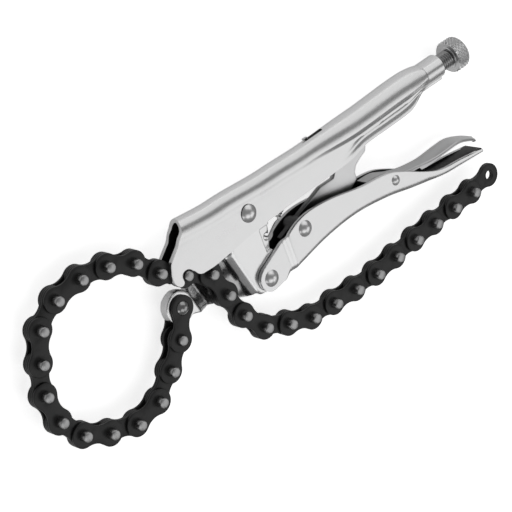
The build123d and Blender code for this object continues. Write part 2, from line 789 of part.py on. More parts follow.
with BuildPart() as return_spring:
    with BuildLine() as wire_path:
        # The front hook goes down through the tab and back under it
        low = spring_start + spring_axis * hook_bend - spring_side * COIL_RADIUS
        high = spring_start + spring_axis * hook_bend + spring_side * COIL_RADIUS
        hook_low = spring_start - spring_side * (COIL_RADIUS - hook_bend)
        hook_high = spring_start + spring_side * (COIL_RADIUS - hook_bend)
        Line(low + spring_axis * WIRE, low)
        biarc(low, -spring_axis, hook_low, spring_side)
        Line(hook_low, hook_high)
        biarc(hook_high, spring_side, high, spring_axis)
        lead = coil_foot + spring_side * COIL_RADIUS - spring_axis * (2 * COIL_RADIUS)
        Line(high, lead)
        biarc(lead, spring_axis, coil_point(0), coil_tangent(0))
        for quarter in range(COIL_QUARTERS):
            start, end = quarter / 4, (quarter + 1) / 4
            biarc(coil_point(start), coil_tangent(start), coil_point(end), coil_tangent(end))
        # The rear hook rises through the slot and bends forward over the crown
        last = coil_point(COIL_QUARTERS / 4)
        leave = last + spring_axis * (2 * COIL_RADIUS)
        hook_x = SLOT_X - SLOT_LENGTH / 2 + 2 * WIRE
        turn_y = leave.Y + (hook_x - leave.X) * spring_axis.Y / spring_axis.X
        rise = Vector(0, 1, 0)
        turn_in = Vector(hook_x, turn_y, 0) - spring_axis * COIL_RADIUS
        turn_out = Vector(hook_x, turn_y + COIL_RADIUS, 0)
        over_y = CROWN_BASE + CROWN_SHARE * HANDLE_HEIGHT + WIRE
        biarc(last, coil_tangent(COIL_QUARTERS / 4), leave, spring_axis)
        Line(leave, turn_in)
        biarc(turn_in, spring_axis, turn_out, rise)
        Line(turn_out, (hook_x, over_y - hook_bend, 0))
        biarc(Vector(hook_x, over_y - hook_bend, 0), rise, Vector(hook_x - hook_bend, over_y, 0), Vector(-1, 0, 0))
        Line((hook_x - hook_bend, over_y, 0), (hook_x - hook_bend - 2 * WIRE, over_y, 0))
    with BuildSketch(Plane(origin=wire_path.line @ 0, z_dir=wire_path.line % 0)):
        Circle(WIRE / 2)
    sweep(path=wire_path.line)
keep("return_spring", return_spring.part)
least_gap = COIL_PITCH * cos(atan2(COIL_PITCH, 2 * pi * COIL_RADIUS)) - WIRE
print("least gap between turns of the spring", round(least_gap, 3))

# The origin is the middle of the underside of the whole tool
whole = Compound([piece for piece in pieces.values()]).bounding_box()
shift = Location((-whole.center().X, -whole.center().Y, -whole.min.Z))
os.makedirs("parts", exist_ok=True)
for name, piece in pieces.items():
    solid = piece.moved(shift)
    solid.label = name
    export_step(solid, f"parts/{name}.step")
print("size", [round(v, 1) for v in whole.size], "nodes", len(pieces))
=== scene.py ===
import json
import math

import bmesh
import bpy
from mathutils import Matrix, Vector


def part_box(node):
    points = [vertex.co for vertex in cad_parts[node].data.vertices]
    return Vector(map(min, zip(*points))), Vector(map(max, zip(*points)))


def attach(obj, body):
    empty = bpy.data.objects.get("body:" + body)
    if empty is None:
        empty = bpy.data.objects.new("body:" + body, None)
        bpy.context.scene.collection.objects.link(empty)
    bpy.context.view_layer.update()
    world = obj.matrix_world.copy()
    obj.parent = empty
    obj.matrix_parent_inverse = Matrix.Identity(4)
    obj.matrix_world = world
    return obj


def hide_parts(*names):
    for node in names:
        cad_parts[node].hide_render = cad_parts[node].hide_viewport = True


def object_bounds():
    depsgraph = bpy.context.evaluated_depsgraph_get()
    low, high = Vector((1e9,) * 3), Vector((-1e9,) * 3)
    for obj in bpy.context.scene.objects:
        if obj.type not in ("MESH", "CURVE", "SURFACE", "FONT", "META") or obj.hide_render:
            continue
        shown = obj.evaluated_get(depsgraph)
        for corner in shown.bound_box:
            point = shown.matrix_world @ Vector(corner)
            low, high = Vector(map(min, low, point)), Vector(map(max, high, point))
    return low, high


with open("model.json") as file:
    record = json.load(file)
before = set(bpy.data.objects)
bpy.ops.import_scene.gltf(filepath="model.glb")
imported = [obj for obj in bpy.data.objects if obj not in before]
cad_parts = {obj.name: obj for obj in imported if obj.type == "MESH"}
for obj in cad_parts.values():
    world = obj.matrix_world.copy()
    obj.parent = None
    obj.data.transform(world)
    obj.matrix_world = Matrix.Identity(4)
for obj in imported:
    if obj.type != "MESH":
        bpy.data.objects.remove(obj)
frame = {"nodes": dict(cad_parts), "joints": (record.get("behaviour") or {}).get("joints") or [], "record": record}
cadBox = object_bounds()
nodes = frame["nodes"]
mm = 0.001
# edges sharper than this many degrees are bevelled
bevelFrom = 50
pivots = {joint["name"]: Vector(joint["pos_m"]) for joint in frame["joints"]}
mounts = {mount["name"]: mount for mount in frame["record"]["mounts"]}
mainPivot = pivots["jaw_pivot"]
print("frame loaded:", len(nodes), "nodes")


# a socket that can stand in a sum
class Wire:
    def __init__(self, graph, socket):
        self.graph = graph
        self.socket = socket

    def joined(self, operation, *values):
        return worked(self.graph, operation, *values)

    def __add__(self, other):
        return self.joined("ADD", self, other)

    def __radd__(self, other):
        return self.joined("ADD", other, self)

    def __sub__(self, other):
        return self.joined("SUBTRACT", self, other)

    def __rsub__(self, other):
        return self.joined("SUBTRACT", other, self)

    def __mul__(self, other):
        return self.joined("MULTIPLY", self, other)

    def __rmul__(self, other):
        return self.joined("MULTIPLY", other, self)

    def __truediv__(self, other):
        return self.joined("DIVIDE", self, other)

    def __pow__(self, other):
        return self.joined("POWER", self, other)

    def __abs__(self):
        return self.joined("ABSOLUTE", self)


# one node that was added, whose outputs are read by name
class Made:
    def __init__(self, graph, node):
        self.graph = graph
        self.node = node

    def __getitem__(self, name):
        return Wire(self.graph, self.node.outputs[name])


class Graph:
    def __init__(self, tree):
        self.tree = tree

    def add(self, kind, settings=None, sockets=None):
        node = self.tree.nodes.new(kind)
        for name, value in (settings or {}).items():
            setattr(node, name, value)
        for name, value in (sockets or {}).items():
            if isinstance(value, Wire):
                self.tree.links.new(value.socket, node.inputs[name])
            else:
                node.inputs[name].default_value = value
        return Made(self, node)


# the outcome of one sum or comparison
def worked(graph, operation, *values):
    return graph.add("ShaderNodeMath", {"operation": operation}, dict(enumerate(values)))["Value"]


# single values as one vector
def joinedVector(graph, x, y, z):
    return graph.add("ShaderNodeCombineXYZ", None, {"X": x, "Y": y, "Z": z})["Vector"]


# finishes: shade of the metal, roughness, how much grain and mottle change it, and how metallic it is
finishes = {
    "satinNickel": (0.70, 0.25, 0.05, 0.06, 1.00),
    "brightNickel": (0.74, 0.22, 0.04, 0.05, 1.00),
    "linkSteel": (0.64, 0.34, 0.06, 0.06, 1.00),
    "leverSteel": (0.50, 0.34, 0.06, 0.06, 1.00),
    # painted shade: near black on the insides of the sheets and the slot's cut walls, where shade falls
    "insidePaintedShade": (0.06, 0.50, 0.05, 0.06, 1.00),
    "chromeDome": (0.80, 0.30, 0.01, 0.03, 1.00),
    "darkDome": (0.30, 0.20, 0.01, 0.05, 1.00),
    "blackOxide": (0.022, 0.38, 0.05, 0.02, 0.50),
    # painted highlight: the chain plates' bevelled edges, far lighter than their faces
    "oxideEdgePaintedHighlight": (0.30, 0.30, 0.05, 0.05, 1.00),
    # painted highlight: a bright ring all round the pins' bevelled ends
    "pinEdgePaintedHighlight": (0.90, 0.30, 0.02, 0.05, 1.00),
    "pinSteel": (0.34, 0.30, 0.03, 0.08, 1.00),
    "screwSteel": (0.32, 0.32, 0.02, 0.06, 1.00),
    "knobSteel": (0.62, 0.28, 0.02, 0.06, 1.00),
    "springSteel": (0.50, 0.26, 0.02, 0.06, 1.00),
}
# painted shade: a finish that is darker toward the knee, where the handle's plate shades it, between two places
# along the tool in millimetres
paintedShade = {"linkSteel": (30.0, 62.0, 0.12)}
grain = {
    "along": 120,
    "across": 3200,
    "mottleScale": 140,
    "bump": 0.000012,
    "bumpStrength": 0.35,
    # how far the shade can change both ways, and what is added to its blue
    "reach": 0.5,
    "blue": 0.005,
}


# painted shade: scales the tone down smoothly toward the knee, to the least share there
def withPaintedShade(graph, place, tone, begins, ends, least):
    along = graph.add("ShaderNodeSeparateXYZ", None, {0: place})["X"]
    share = graph.add(
        "ShaderNodeMapRange",
        {"interpolation_type": "SMOOTHSTEP"},
        {
            "Value": along,
            "From Min": mainPivot.x + begins * mm,
            "From Max": mainPivot.x + ends * mm,
            "To Min": least,
            "To Max": 1.0,
        },
    )["Result"]
    return graph.add("ShaderNodeVectorMath", {"operation": "SCALE"}, {0: tone, "Scale": share})["Vector"]


def finish(name):
    shade, rough, lined, mottle, metal = finishes[name]
    material = bpy.data.materials.new(name)
    material.use_nodes = True
    material.node_tree.nodes.clear()
    graph = Graph(material.node_tree)
    place = graph.add("ShaderNodeTexCoord")["Object"]
    values = {"Vector": place, "Scale": (grain["along"], grain["across"], grain["across"])}
    brushed = graph.add("ShaderNodeMapping", None, values)["Vector"]
    values = {"Vector": brushed, "Scale": 1.0, "Detail": 3.0}
    lines = graph.add("ShaderNodeTexNoise", None, values)["Fac"]
    values = {"Vector": place, "Scale": grain["mottleScale"], "Detail": 4.0}
    cloud = graph.add("ShaderNodeTexNoise", None, values)["Fac"]
    reach, blue = grain["reach"], grain["blue"]
    dark, light = shade * (1 - reach), min(shade * (1 + reach), 1)
    change = (cloud - 0.5) * mottle + (lines - 0.5) * lined * shade
    tint = graph.add(
        "ShaderNodeMix",
        {"data_type": "RGBA"},
        {
            "Factor": change + 0.5,
            6: (dark, dark, shade * (1 - reach + blue), 1),
            7: (light, light, min(shade * (1 + reach + blue), 1), 1),
        },
    )
    tone = Wire(graph, tint.node.outputs[2])
    # painted shade toward the knee, for the finishes that have it
    if name in paintedShade:
        tone = withPaintedShade(graph, place, tone, *paintedShade[name])
    values = {"Height": lines, "Strength": grain["bumpStrength"], "Distance": grain["bump"]}
    bump = graph.add("ShaderNodeBump", None, values)["Normal"]
    shader = graph.add(
        "ShaderNodeBsdfPrincipled",
        None,
        {
            "Base Color": tone,
            "Metallic": metal,
            "Roughness": (cloud - 0.5) * mottle * 2 + rough,
            "Normal": bump,
        },
    )["BSDF"]
    graph.add("ShaderNodeOutputMaterial", None, {"Surface": shader})
    return material


materials = {name: finish(name) for name in finishes}
print("finishes made:", len(materials))


def newPiece(name, mesh=None):
    piece = bpy.data.objects.new(name, mesh or bpy.data.meshes.new(name))
    bpy.context.scene.collection.objects.link(piece)
    return piece


# takes the modifiers' result as a plain mesh and leaves the object bare
def settled(piece):
    graph = bpy.context.evaluated_depsgraph_get()
    shape = bpy.data.meshes.new_from_object(piece.evaluated_get(graph))
    piece.modifiers.clear()
    piece.data = shape
    return piece


# gives a sheet its thickness inwards, with the inside in another of its materials when asked, where shade is
# painted
def walled(piece, thickness, inside=0):
    wall = piece.modifiers.new("wall", "SOLIDIFY")
    wall.thickness = thickness * mm
    wall.offset = -1
    wall.material_offset = inside


# rounds the edges with a bevel, in another material of the piece when asked, which on the chain holds a painted
# highlight, and keeps the piece as it then is
def bevelRounded(piece, width, smooth, segments, slot=-1):
    bevel = piece.modifiers.new("edges", "BEVEL")
    bevel.width = width * mm
    bevel.segments = segments
    bevel.limit_method = "ANGLE"
    bevel.angle_limit = math.radians(bevelFrom)
    bevel.harden_normals = False
    bevel.material = slot
    settled(piece)
    smoothShaded(piece.data, smooth)


def smoothShaded(mesh, angle):
    mesh.shade_smooth()
    mesh.set_sharp_from_angle(angle=math.radians(angle))


# the forged jaw and the toggle keep their solid's form, remeshed so that their edges wear soft
wearFactor = 0.5
seamGap = 0.002
forgings = {
    "lower_jaw": {
        "name": "jawForging",
        "finish": "brightNickel",
        "slot": "bright_nickel",
        "voxel": 0.42,
        "passes": 5,
        # the two bends across the arm, by their place along the arm, wear much rounder
        "slant": 14.5,
        "bends": ((-23.0, 4.5), (-47.0, 5.0)),
        "bendPasses": 60,
        "bendFade": 3,
    },
    "toggle_link": {
        "name": "togglePlate",
        "finish": "linkSteel",
        "slot": "link_steel",
        "voxel": 0.30,
        "passes": 3,
        "bends": (),
    },
}


def roundBends(piece, look):
    group = piece.vertex_groups.new(name="bends")
    slant = math.radians(look["slant"])
    for vert in piece.data.vertices:
        spot = (vert.co - mainPivot) / mm
        along = spot.x * math.cos(slant) + spot.y * math.sin(slant)
        past = [max(abs(along - place) - reach, 0) for place, reach in look["bends"]]
        weight = 1 - min(past) / look["bendFade"]
        if weight > 0:
            group.add([vert.index], weight, "REPLACE")
    wear = piece.modifiers.new("bends", "SMOOTH")
    wear.factor = wearFactor
    wear.iterations = look["bendPasses"]
    wear.use_y = False
    wear.vertex_group = group.name
    settled(piece)


def softenedCopy(node, look):
    mesh = nodes[node].data.copy()
    work = bmesh.new()
    work.from_mesh(mesh)
    bmesh.ops.remove_doubles(work, verts=work.verts, dist=seamGap * mm)
    work.to_mesh(mesh)
    work.free()
    piece = newPiece(look["name"], mesh)
    skin = piece.modifiers.new("skin", "REMESH")
    skin.mode = "VOXEL"
    skin.voxel_size = look["voxel"] * mm
    wear = piece.modifiers.new("wear", "SMOOTH")
    wear.factor = wearFactor
    wear.iterations = look["passes"]
    settled(piece)
    if look["bends"]:
        roundBends(piece, look)
    piece.data.shade_smooth()
    piece.data.materials.clear()
    piece.data.materials.append(materials[look["finish"]])
    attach(piece, node)
    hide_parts(node)


for node, look in forgings.items():
    softenedCopy(node, look)
print("forgings softened:", len(forgings))

# the upper handle's folded sheet, in millimetres from the main pivot
upperSheet = {
    "thickness": 2.2,
    "front": -54.0,
    "rear": 134.5,
    # where the search for the nose's edge starts, and how often it is refined
    "noseGuess": -50.0,
    "nosePasses": 6,
    # place along the tool, half width of the crown, and the crown's height
    "stations": (
        (-54.0, 5.70, 18.9), (-15.0, 5.70, 15.9), (20.0, 5.70, 14.1), (45.0, 5.85, 13.5),
        (80.0, 7.24, 14.1), (118.0, 7.40, 15.3), (134.5, 7.20, 14.8),
    ),
    # where the crown begins to swell and is full, and the same for the flare of the edge
    "swell": (38.0, 80.0),
    "flare": (60.0, 80.0),
    # the slanting edge of the nose, as height and place, down to the tip of the hook
    "nose": (
        (20.8, -36.9), (13.0, -39.5), (7.0, -44.5), (1.0, -52.0), (-4.9, -54.0),
        (-8.4, -53.9), (-10.6, -53.1), (-12.0, -51.8),
    ),
    # the lower edge from the tip of the hook, round the notch, to where the straight edge begins
    "hookTip": (
        (-51.8, -12.0), (-50.7, -12.5), (-49.6, -12.5), (-48.8, -12.0), (-48.37, -11.1),
        (-48.37, -10.3),
    ),
    "hookHeel": (
        (-41.3, -8.9), (-40.6, -9.5), (-40.0, -10.6), (-39.2, -11.7), (-38.0, -12.6),
        (-36.5, -13.1),
    ),
    "bottom": (
        (-36.5, -13.1), (-28.0, -13.4), (0.0, -10.5), (40.0, -9.1), (68.0, -8.3),
        (82.0, -5.6), (100.0, -5.2), (116.8, -4.5), (124.1, -2.1), (134.5, 0.5),
    ),
    # the notch's middle and radius
    "notch": (-45.07, -9.52, 3.3),
    "notchSteps": 18,
    # how late the rows of the nose turn to the hook
    "hookPower": 2.5,
    # the slot in the crown from one place to another, with half its width, and the rows it can cut
    "slot": (50.0, 62.0, 1.5),
    "slotRows": 6,
    "slotAbove": 8,
    "slotSlack": 0.2,
    "slotSlope": 0.8,
    # the crown is an oval, higher than half its width by this share
    "crownRise": 1.4,
    "crownRows": 14,
    "sideRows": 24,
    "columns": 150,
    "edge": 0.5,
    # the rear of the shell closes round the neck from here
    "closing": 121.0,
    "closingPower": 2.8,
    "closingEase": 1.5,
    # it stands this far over the neck, and wraps it by this share of half a turn
    "overNeck": 0.1,
    "wrap": 0.36,
    # the side stands back from the crown, and more where the crown swells
    "setBack": 0.35,
    "swellBack": 1.15,
    # heights above the lower edge with how far its flare draws in there, for a side of full depth
    "fullDepth": 9.5,
    "edgeFlare": ((0.0, 0.0), (1.8, 0.20), (3.6, 0.70), (5.4, 0.35)),
    # depths under the shoulder with the dip and the swell there
    "underCrown": ((4.4, 0.05, 0.0), (2.6, 0.12, 0.20)),
}
crownShare = upperSheet["crownRows"] / (upperSheet["crownRows"] + upperSheet["sideRows"])

# the neck is the same sheet, rolled round the thread, with its two edges turned down
neck = {
    "from": 129.0,
    "to": 147.0,
    "height": 6.5,
    "radius": 6.6,
    "wall": 1.6,
    "edge": 0.3,
    "flangeHalf": 2.8,
    "flangeLow": -0.6,
    "flangeEnd": 146.6,
    "flangeTop": 1.9,
    # columns short of the flange's end, rows up its depth, and the bend at its top
    "flangeMarks": (0.0, 0.3, 0.7),
    "flangeSteps": (0.0, 0.8, 1.6),
    "creaseWide": 0.4,
    "creaseHigh": 0.25,
    "seam": 4.3,
    "corner": 0.9,
    "turns": 48,
    "columns": 40,
}


# 0 to 1 with a soft start and end
def eased(share):
    share = min(max(share, 0), 1)
    return share * share * (3 - 2 * share)


# places from low to high, with both ends
def spread(low, high, count):
    return [low + (high - low) * part / count for part in range(count + 1)]


# a value on the smooth curve through the rows of a table
def curved(table, x):
    if x <= table[0][0]:
        return table[0][1]
    if x >= table[-1][0]:
        return table[-1][1]
    at = max(index for index, row in enumerate(table[:-1]) if row[0] <= x)
    last = len(table) - 1
    before, low, high, after = (table[min(max(index, 0), last)] for index in range(at - 1, at + 3))
    span = high[0] - low[0]
    share = (x - low[0]) / span
    slopeLow = (high[1] - before[1]) / (high[0] - before[0]) * span
    slopeHigh = (after[1] - low[1]) / (after[0] - low[0]) * span
    square, cube = share * share, share ** 3
    value = (2 * cube - 3 * square + 1) * low[1] + (3 * square - 2 * cube) * high[1]
    return value + (cube - 2 * square + share) * slopeLow + (cube - square) * slopeHigh


# a value between the rows of a table, smooth at its rows when asked
def between(table, x, column=1, smooth=False):
    if x <= table[0][0]:
        return table[0][column]
    for low, high in zip(table, table[1:]):
        if x <= high[0]:
            share = (x - low[0]) / (high[0] - low[0])
            if smooth:
                share = eased(share)
            return low[column] + (high[column] - low[column]) * share
    return table[-1][column]


def upperBottom(x):
    return curved(upperSheet["bottom"], x)


# the outside of the sheet at a place along it, for a level from 0 at the crown to 1 at the lower edge
def upperPoint(x, level):
    sheet = upperSheet
    crown, top = (between(sheet["stations"], x, column, True) for column in (1, 2))
    rise = crown * sheet["crownRise"]
    shoulder = top - rise
    if x > sheet["closing"]:
        return closedPoint(x, level, crown, rise, shoulder)
    if level <= crownShare:
        turn = math.pi / 2 * (1 - level / crownShare)
        return crown * math.cos(turn), shoulder + rise * math.sin(turn)
    return upperSide(x, level, crown, shoulder, upperBottom(x))


# the side hangs from the crown with a dip under it, and at the rear its edge flares out again
def upperSide(x, level, crown, shoulder, low):
    sheet = upperSheet
    begins, full = sheet["swell"]
    swell = eased((x - begins) / (full - begins))
    begins, full = sheet["flare"]
    flare = eased((x - begins) / (full - begins))
    scale = min(1, (shoulder - low) / sheet["fullDepth"])
    side = crown - sheet["setBack"] - sheet["swellBack"] * swell
    table = [(low + up * scale, side - draw * flare) for up, draw in sheet["edgeFlare"]]
    for down, dip, bulge in sheet["underCrown"]:
        table.append((shoulder - down * scale, side - dip + bulge * swell))
    table.append((shoulder, crown))
    height = shoulder + (low - shoulder) * (level - crownShare) / (1 - crownShare)
    return curved(table, height), height


# near its rear the section of the shell turns into the round of the neck
def closedPoint(x, level, crown, rise, shoulder):
    sheet = upperSheet
    if level <= crownShare:
        turn = math.pi / 2 * (1 - level / crownShare)
        wide, height = crown * math.cos(turn), shoulder + rise * math.sin(turn)
    else:
        wide, height = upperSide(x, level, crown, shoulder, upperBottom(x))
        turn = -math.pi * sheet["wrap"] * (level - crownShare) / (1 - crownShare)
    power = sheet["closingPower"] - sheet["closingEase"] * level
    share = ((x - sheet["closing"]) / (sheet["rear"] - sheet["closing"])) ** power
    radius = neck["radius"] + sheet["overNeck"]
    roundWide, roundHeight = radius * math.cos(turn), neck["height"] + radius * math.sin(turn)
    return wide + (roundWide - wide) * share, height + (roundHeight - height) * share


# points round the hook by their share of its length
def hookLine():
    sheet = upperSheet
    centreX, centreY, radius = sheet["notch"]
    steps = sheet["notchSteps"]
    turns = [math.pi * (1 - step / steps) for step in range(steps - 1)]
    arc = [(centreX + radius * math.cos(turn), centreY + radius * math.sin(turn)) for turn in turns]
    points = [Vector(point) for point in (*sheet["hookTip"], *arc, *sheet["hookHeel"])]
    lengths = [0]
    for before, after in zip(points, points[1:]):
        lengths.append(lengths[-1] + (after - before).length)
    return [(length / lengths[-1], point) for length, point in zip(lengths, points)]


hookEnds = (hookLine()[0][1], hookLine()[-1][1])


# the nose is spread between its slanting edge and the straight part, and its last rows follow the hook
def nosePoint(level, share, hook):
    sheet = upperSheet
    start = sheet["noseGuess"]
    for _ in range(sheet["nosePasses"]):
        height = upperPoint(start, level)[1]
        if level > crownShare:
            top = upperPoint(start, crownShare)[1]
            height = top + (sheet["nose"][-1][0] - top) * (level - crownShare) / (1 - crownShare)
        start = between(sorted(sheet["nose"]), height)
    left = Vector((start, height))
    end = sheet["bottom"][0][0]
    right = Vector((end, upperPoint(end, level)[1]))
    point = left.lerp(right, share)
    if level > crownShare:
        pull = ((level - crownShare) / (1 - crownShare)) ** sheet["hookPower"]
        point += (hook - hookEnds[0].lerp(hookEnds[1], share)) * pull
        return point.x, point.y, upperPoint(point.x, max(crownShare + 0.001, level))[0]
    return point.x, point.y, upperPoint(point.x, level)[0]


def upperGrid():
    sheet = upperSheet
    rows = sheet["crownRows"] + sheet["sideRows"]
    # columns meet the ends of the slot
    marks = sorted([sheet["bottom"][0][0], *sheet["slot"][:2], sheet["rear"]])
    step = (sheet["rear"] - sheet["front"]) / sheet["columns"]
    places = []
    for low, high in zip(marks, marks[1:]):
        count = max(1, round((high - low) / step))
        places += [low + (high - low) * part / count for part in range(count)]
    places.append(marks[-1])
    hook = hookLine()[:-1]
    grid = []
    for index in range(-rows, rows + 1):
        level = abs(index) / rows
        side = -1 if index < 0 else 1
        line = []
        for share, point in hook:
            x, height, wide = nosePoint(level, share, point)
            line.append((x, height, side * wide))
        for x in places:
            wide, height = upperPoint(x, level)
            line.append((x, height, side * wide))
        grid.append(line)
    return [sheet["front"]] * len(hook) + places, grid


def closedWork(name, work):
    bmesh.ops.recalc_face_normals(work, faces=work.faces)
    mesh = bpy.data.meshes.new(name)
    work.to_mesh(mesh)
    work.free()
    return mesh


def sheetMesh(name, grid, skipped=()):
    work = bmesh.new()
    rows = [[work.verts.new(mainPivot + Vector(point) * mm) for point in line] for line in grid]
    for row in range(len(rows) - 1):
        for column in range(len(rows[0]) - 1):
            if (row, column) in skipped:
                continue
            corners = (
                rows[row][column],
                rows[row][column + 1],
                rows[row + 1][column + 1],
                rows[row + 1][column],
            )
            work.faces.new(corners)
    loose = [vert for vert in work.verts if not vert.link_faces]
    bmesh.ops.delete(work, geom=loose, context="VERTS")
    return closedWork(name, work)


def buildUpperShell():
    sheet = upperSheet
    places, grid = upperGrid()
    middle = len(grid) // 2
    slotFrom, slotTo, slotHalf = sheet["slot"]
    skipped = set()
    for column, spot in enumerate(places[:-1]):
        if not slotFrom <= spot < slotTo:
            continue
        for row in range(middle - sheet["slotRows"], middle + sheet["slotRows"]):
            if abs(grid[row][column][2] + grid[row + 1][column][2]) / 2 < slotHalf:
                skipped.add((row, column))
    mesh = sheetMesh("upperShell", grid, skipped)
    piece = newPiece("upperShell", mesh)
    mesh.materials.append(materials["satinNickel"])
    # the inside takes the painted shade
    mesh.materials.append(materials["insidePaintedShade"])
    walled(piece, sheet["thickness"], 1)
    bevelRounded(piece, sheet["edge"], 40, 3)
    # the cut walls of the slot take the inside's painted shade
    slack = sheet["slotSlack"]
    for face in piece.data.polygons:
        spot = (face.center - mainPivot) / mm
        inSlot = slotFrom - slack <= spot.x <= slotTo + slack and abs(spot.z) <= slotHalf
        if inSlot and spot.y > sheet["slotAbove"] and abs(face.normal.y) < sheet["slotSlope"]:
            face.material_index = 1
    return piece


# the lower handle is folded from a sheet into a trough, in millimetres from the main pivot
lowerSheet = {
    "thickness": 2.2,
    "rim": (
        (-4.7, -31.7), (14.5, -23.1), (24.1, -19.0), (34.1, -17.6), (49.0, -19.1),
        (69.0, -23.4), (88.6, -26.3), (99.1, -30.8), (114.0, -39.1), (123.9, -43.1),
        (139.0, -45.1), (155.5, -47.6),
    ),
    "bottom": (
        (0.0, -44.6), (7.9, -43.3), (20.1, -40.8), (40.0, -37.2), (62.0, -36.0),
        (85.1, -38.8), (105.0, -43.5), (125.0, -47.2), (140.0, -48.5), (155.5, -49.4),
    ),
    "ear": (-0.4, -37.6, 7.0),
    "joggle": (12.7, 16.6),
    "halves": (5.7, 7.5),
    "fold": 3.6,
    "leastFold": 0.3,
    # the fold takes no more than this share of the depth
    "foldShare": 0.6,
    # the ears are rounded up to here
    "earsTo": 12.0,
    "foldFrom": (7.0, 12.5),
    "sideRows": 12,
    "foldRows": 6,
    "floorRows": 3,
    "columns": 150,
    "edge": 0.5,
}


def lowerPoint(x, row):
    look = lowerSheet
    rim, low = curved(look["rim"], x), curved(look["bottom"], x)
    narrow, wide = look["halves"]
    begins, full = look["joggle"]
    half = narrow + (wide - narrow) * eased((x - begins) / (full - begins))
    begins, full = look["foldFrom"]
    least = look["leastFold"]
    fold = least + (look["fold"] - least) * eased((x - begins) / (full - begins))
    fold = min(fold, (rim - low) * look["foldShare"])
    if row <= look["sideRows"]:
        return half, rim - (rim - low - fold) * row / look["sideRows"]
    row -= look["sideRows"]
    if row <= look["foldRows"]:
        turn = math.pi / 2 * row / look["foldRows"]
        return half - fold + fold * math.cos(turn), low + fold - fold * math.sin(turn)
    row -= look["foldRows"]
    return (half - fold) * (1 - row / look["floorRows"]), low


def buildLowerShell():
    look = lowerSheet
    rows = look["sideRows"] + look["foldRows"] + look["floorRows"]
    earX, earY, earRadius = look["ear"]
    front, squeezed, end = earX - earRadius, look["earsTo"], look["rim"][-1][0]
    marks = [front, look["foldFrom"][0], squeezed, look["joggle"][0], look["joggle"][1], end]
    places = []
    for low, high in zip(marks, marks[1:]):
        count = max(1, round((high - low) / (end - front) * look["columns"]))
        places += [low + (high - low) * part / count for part in range(count)]
    places.append(end)
    grid = []
    for index in range(-rows, rows + 1):
        line = []
        for spot in places:
            x = spot
            row = rows - abs(index)
            if spot < squeezed and row <= look["sideRows"]:
                share = (spot - front) / (squeezed - front)
                for _ in range(4):
                    height = lowerPoint(x, row)[1]
                    start = earX - math.sqrt(max(0, earRadius ** 2 - (height - earY) ** 2))
                    x = start + (squeezed - start) * share
            wide, height = lowerPoint(x, row)
            line.append((x, height, wide if index < 0 else -wide))
        grid.append(line)
    skipped = {
        (row, column)
        for row in range(look["sideRows"], 2 * rows - look["sideRows"])
        for column, spot in enumerate(places[:-1])
        if spot < look["foldFrom"][0] - 0.001
    }
    piece = newPiece("lowerShell", sheetMesh("lowerShell", grid, skipped))
    walled(piece, look["thickness"], 1)
    piece.data.materials.append(materials["satinNickel"])
    # the inside takes the painted shade
    piece.data.materials.append(materials["insidePaintedShade"])
    bevelRounded(piece, look["edge"], 40, 3)
    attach(piece, "lower_handle")
    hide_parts("lower_handle")


# the release lever is a pressed sheet with ears at its rivet and a paddle at its tail
releaseSheet = {
    "thickness": 1.8,
    "crown": (
        (76.0, -24.9), (86.0, -25.8), (95.6, -29.8), (105.6, -32.8), (118.4, -34.5),
        (132.0, -34.2), (142.0, -34.5), (150.4, -37.6), (156.6, -41.2),
    ),
    "halves": ((76.0, 4.9), (112.0, 4.9), (128.0, 6.2), (146.0, 6.2)),
    "ears": ((76.0, -27.6), (84.0, -32.0), (92.0, -36.3), (97.0, -36.4), (112.0, -35.4), (124.0, -36.9)),
    # the tail is rounded off from here, by this power, down to this share of its width squared
    "tailFrom": 149.0,
    "tailPower": 3.4,
    "tailLeast": 0.03,
    # where the camber begins and how far it takes to be full, and the same for the end of the ears
    "camberFrom": 110,
    "camberSpan": 20,
    "earsEnd": 112,
    "earsSpan": 16,
    "lip": 0.4,
    "skirt": 1.6,
    "camber": 0.9,
    "round": 1.4,
    "topRows": 6,
    "cornerRows": 4,
    "earRows": 5,
    "columns": 90,
    "edge": 0.35,
}


def releasePoint(x, row):
    look = releaseSheet
    crown, half = curved(look["crown"], x), curved(look["halves"], x)
    end = look["crown"][-1][0]
    if x > look["tailFrom"]:
        past = (x - look["tailFrom"]) / (end - look["tailFrom"])
        half *= math.sqrt(max(look["tailLeast"], 1 - past ** look["tailPower"]))
    corner = min(look["round"], half * 0.5)
    flat = half - corner
    droop = look["camber"] * eased((x - look["camberFrom"]) / look["camberSpan"])
    if row <= look["topRows"]:
        share = row / look["topRows"]
        return flat * share, crown - droop * share * share
    row -= look["topRows"]
    if row <= look["cornerRows"]:
        turn = math.pi / 2 * row / look["cornerRows"]
        return flat + corner * math.sin(turn), crown - droop - corner + corner * math.cos(turn)
    row -= look["cornerRows"]
    highest = crown - droop - corner - look["lip"]
    foot = min(curved(look["ears"], x), highest)
    if x > look["earsEnd"]:
        foot = highest - look["skirt"] * (1 - eased((x - look["earsEnd"]) / look["earsSpan"]))
    return half, crown - droop - corner + (foot - crown + droop + corner) * row / look["earRows"]


def buildReleaseLever():
    look = releaseSheet
    rows = look["topRows"] + look["cornerRows"] + look["earRows"]
    places = spread(look["crown"][0][0], look["crown"][-1][0], look["columns"])
    grid = []
    for index in range(-rows, rows + 1):
        side = 1 if index < 0 else -1
        line = []
        for x in places:
            wide, height = releasePoint(x, abs(index))
            line.append((x, height, side * wide))
        grid.append(line)
    piece = newPiece("releasePlate", sheetMesh("releasePlate", grid))
    walled(piece, look["thickness"])
    bevelRounded(piece, look["edge"], 40, 2)
    piece.data.materials.append(materials["leverSteel"])
    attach(piece, "release_lever")
    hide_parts("release_lever")


